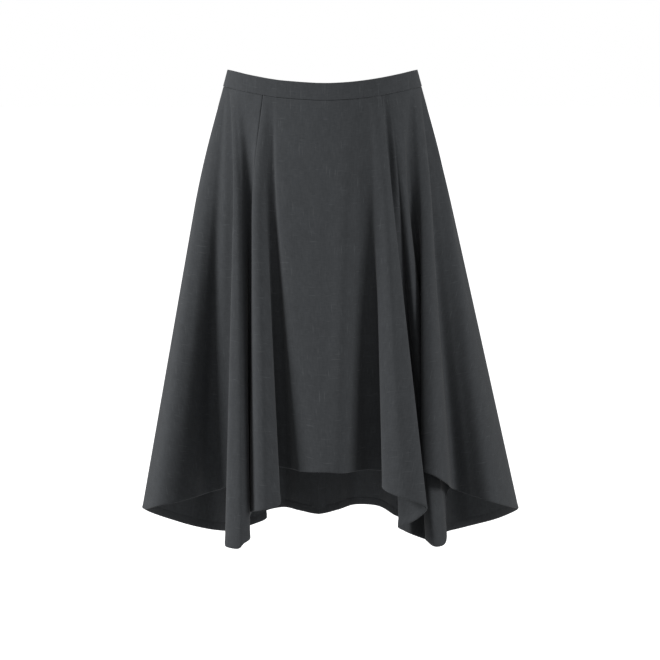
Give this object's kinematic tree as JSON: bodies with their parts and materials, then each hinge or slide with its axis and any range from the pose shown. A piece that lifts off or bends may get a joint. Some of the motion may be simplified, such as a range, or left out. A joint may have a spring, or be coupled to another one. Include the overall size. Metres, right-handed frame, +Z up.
{
  "type": "asymmetric flared skirt",
  "caption": "Charcoal grey suiting skirt with a narrow waistband, flared panels in deep folds and a pointed, uneven hem, standing open and hollow as if worn.",
  "frame": {"origin": "the middle of the waist opening, level with the band's top edge at the sides", "axes": "+Z up, out of the waist opening; +Y to the back of the skirt; the front faces -Y; +X to the right as the front is looked at"},
  "size_m": [0.5124, 0.3564, 0.6524],
  "materials": {
    "suiting": "matt, fine woven suiting, slightly mottled charcoal",
    "zip_metal": "satin enamel, dyed to match the cloth"
  },
  "bodies": {
    "skirt": {"front_side_left": "suiting", "front_centre": "suiting", "front_side_right": "suiting", "back_right": "suiting", "back_left": "suiting", "waistband_front": "suiting", "waistband_back_right": "suiting", "waistband_back_left": "suiting", "zip_slider": "zip_metal"},
    "pull_tab": {"zip_pull": "zip_metal"}
  },
  "joints": [
    {"name": "pull_tab_swing", "type": "hinge", "parent": "skirt", "child": "pull_tab", "pos_m": [0, 0.09444, -0.03211], "axis": [1, 0, 0], "range_deg": [0, 110]}
  ]
}
